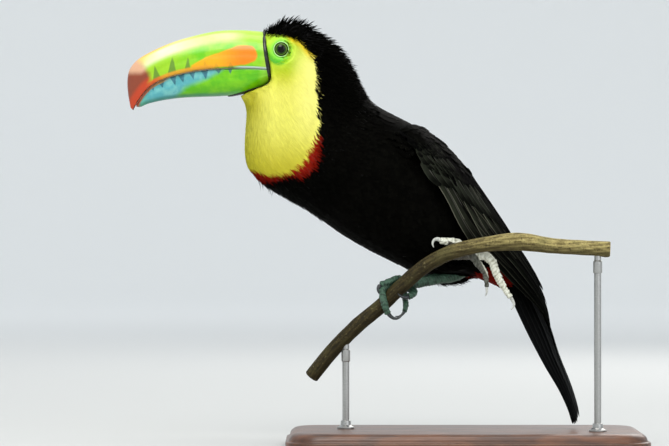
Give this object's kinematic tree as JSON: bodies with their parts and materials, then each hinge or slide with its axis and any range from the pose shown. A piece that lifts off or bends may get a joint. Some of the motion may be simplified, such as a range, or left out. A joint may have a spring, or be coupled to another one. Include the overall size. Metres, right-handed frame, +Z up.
{
  "type": "keel-billed toucan",
  "caption": "Life-size still model of a keel-billed toucan gripping a short cut branch, held over a flat base by plain rods.",
  "frame": {"origin": "centre of the underside of the stand's base", "axes": "+Z up; the bird faces -X, and the branch passes on its left side, which is -Y"},
  "size_m": [0.4334, 0.16, 0.3575],
  "materials": {
    "face_skin": "bare skin, satin, yellow-green",
    "bib_plumage": "soft yellow feathers with a red lower band",
    "black_plumage": "soft black feathers",
    "wing_feathers": "black flight feathers with a faint sheen",
    "tail_feathers": "black tail feathers with a faint sheen",
    "bill_upper": "green horn with an orange flame and a red tip, glossy",
    "bill_lower": "green and blue horn with a red tip, glossy",
    "eye": "wet and dark, with an olive iris",
    "leg_skin": "scaly grey-blue skin",
    "claw": "grey horn, slightly glossy",
    "bark": "smooth olive-brown bark, matt",
    "stand_wood": "dark stained, satin",
    "stand_metal": "satin rod"
  },
  "bodies": {
    "root": {"head": "face_skin", "neck": "bib_plumage", "trunk": "black_plumage", "bill_upper": "bill_upper", "bill_lower": "bill_lower", "eye_left": "eye", "eye_right": "eye", "wing_left": "wing_feathers", "wing_right": "wing_feathers", "tail": "tail_feathers", "thigh_left": "black_plumage", "thigh_right": "black_plumage", "leg_left": "leg_skin", "leg_right": "leg_skin", "foot_left": "leg_skin", "foot_right": "leg_skin", "perch": "bark", "stand_base": "stand_wood", "stand_rod_front": "stand_metal", "stand_rod_back": "stand_metal", "claw_left_1": "claw", "claw_left_2": "claw", "claw_left_3": "claw", "claw_left_4": "claw", "claw_right_1": "claw", "claw_right_2": "claw", "claw_right_3": "claw", "claw_right_4": "claw"}
  },
  "joints": []
}
